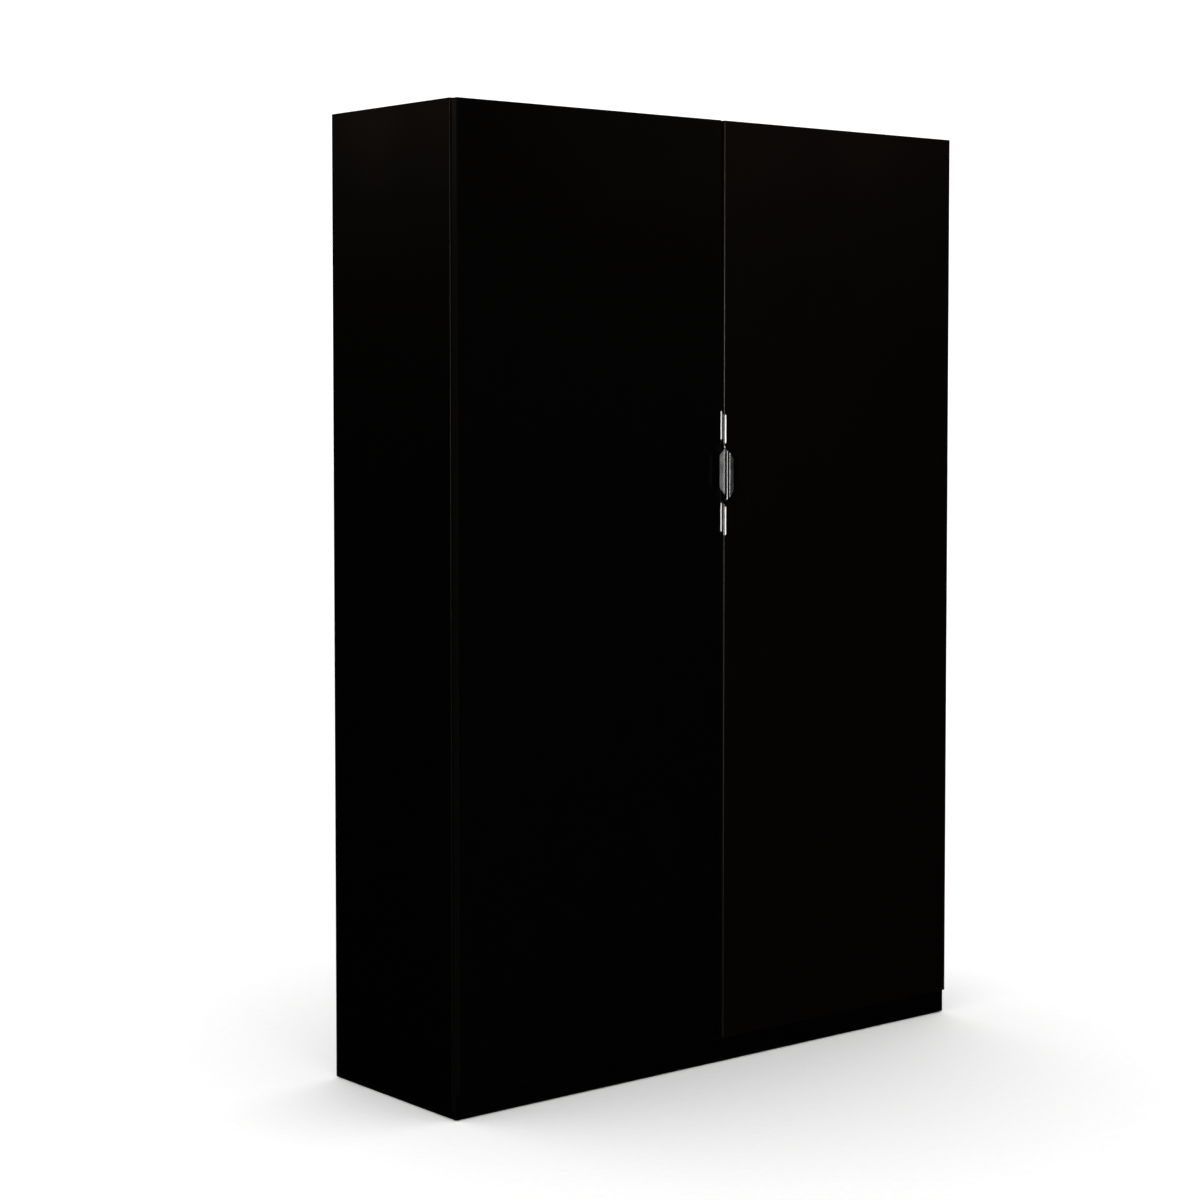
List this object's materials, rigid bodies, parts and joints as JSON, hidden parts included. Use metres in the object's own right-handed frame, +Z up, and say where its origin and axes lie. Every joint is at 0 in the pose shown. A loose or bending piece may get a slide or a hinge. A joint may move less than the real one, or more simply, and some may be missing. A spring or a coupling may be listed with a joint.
{
  "type": "two-door wardrobe",
  "caption": "Tall free-standing wardrobe with flat full-overlay doors, slim metal edge handles, a hanging bay and a shelved bay on a low plinth.",
  "frame": {"origin": "on the floor, under the middle of the whole wardrobe's box, handles included", "axes": "+Z up, the doors and handles face -Y, +X towards the right-hand side when looking at the doors"},
  "size_m": [1.39, 0.4436, 2],
  "materials": {
    "board": "satin black-brown melamine facing",
    "back_board": "matt black fibreboard",
    "handle_metal": "satin anodised",
    "hinge_steel": "nickel plated",
    "rail_chrome": "polished",
    "foot_plastic": "moulded",
    "bumper": "clear, matt"
  },
  "bodies": {
    "carcass": {"left_side_panel": "board", "right_side_panel": "board", "top_panel": "board", "bottom_panel": "board", "centre_partition": "board", "left_back_board": "back_board", "right_back_board": "back_board", "front_plinth": "board", "rear_plinth": "board", "hat_shelf": "board", "right_shelf_1": "board", "right_shelf_2": "board", "right_shelf_3": "board", "right_shelf_4": "board", "front_rail_bracket": "rail_chrome", "rear_rail_bracket": "rail_chrome", "hanging_rail": "rail_chrome", "front_left_foot": "foot_plastic", "rear_left_foot": "foot_plastic", "front_middle_foot": "foot_plastic", "rear_middle_foot": "foot_plastic", "front_right_foot": "foot_plastic", "rear_right_foot": "foot_plastic", "left_lowest_hinge_arm": "hinge_steel", "left_lowest_hinge_plate": "hinge_steel", "left_lower_hinge_arm": "hinge_steel", "left_lower_hinge_plate": "hinge_steel", "left_upper_hinge_arm": "hinge_steel", "left_upper_hinge_plate": "hinge_steel", "left_highest_hinge_arm": "hinge_steel", "left_highest_hinge_plate": "hinge_steel", "right_lowest_hinge_arm": "hinge_steel", "right_lowest_hinge_plate": "hinge_steel", "right_lower_hinge_arm": "hinge_steel", "right_lower_hinge_plate": "hinge_steel", "right_upper_hinge_arm": "hinge_steel", "right_upper_hinge_plate": "hinge_steel", "right_highest_hinge_arm": "hinge_steel", "right_highest_hinge_plate": "hinge_steel"},
    "left_door_leaf": {"left_door": "board", "left_handle": "handle_metal", "left_lower_handle_screw": "hinge_steel", "left_upper_handle_screw": "hinge_steel", "left_lower_bumper": "bumper", "left_upper_bumper": "bumper", "left_lowest_hinge_cup": "hinge_steel", "left_lower_hinge_cup": "hinge_steel", "left_upper_hinge_cup": "hinge_steel", "left_highest_hinge_cup": "hinge_steel"},
    "right_door_leaf": {"right_door": "board", "right_handle": "handle_metal", "right_lower_handle_screw": "hinge_steel", "right_upper_handle_screw": "hinge_steel", "right_lower_bumper": "bumper", "right_upper_bumper": "bumper", "right_lowest_hinge_cup": "hinge_steel", "right_lower_hinge_cup": "hinge_steel", "right_upper_hinge_cup": "hinge_steel", "right_highest_hinge_cup": "hinge_steel"}
  },
  "joints": [
    {"name": "left_door_hinge", "type": "hinge", "parent": "carcass", "child": "left_door_leaf", "pos_m": [-0.6854, -0.19855, 1], "axis": [0, 0, -1], "range_deg": [0, 95]},
    {"name": "right_door_hinge", "type": "hinge", "parent": "carcass", "child": "right_door_leaf", "pos_m": [0.6854, -0.19855, 1], "axis": [0, 0, 1], "range_deg": [0, 95]}
  ]
}
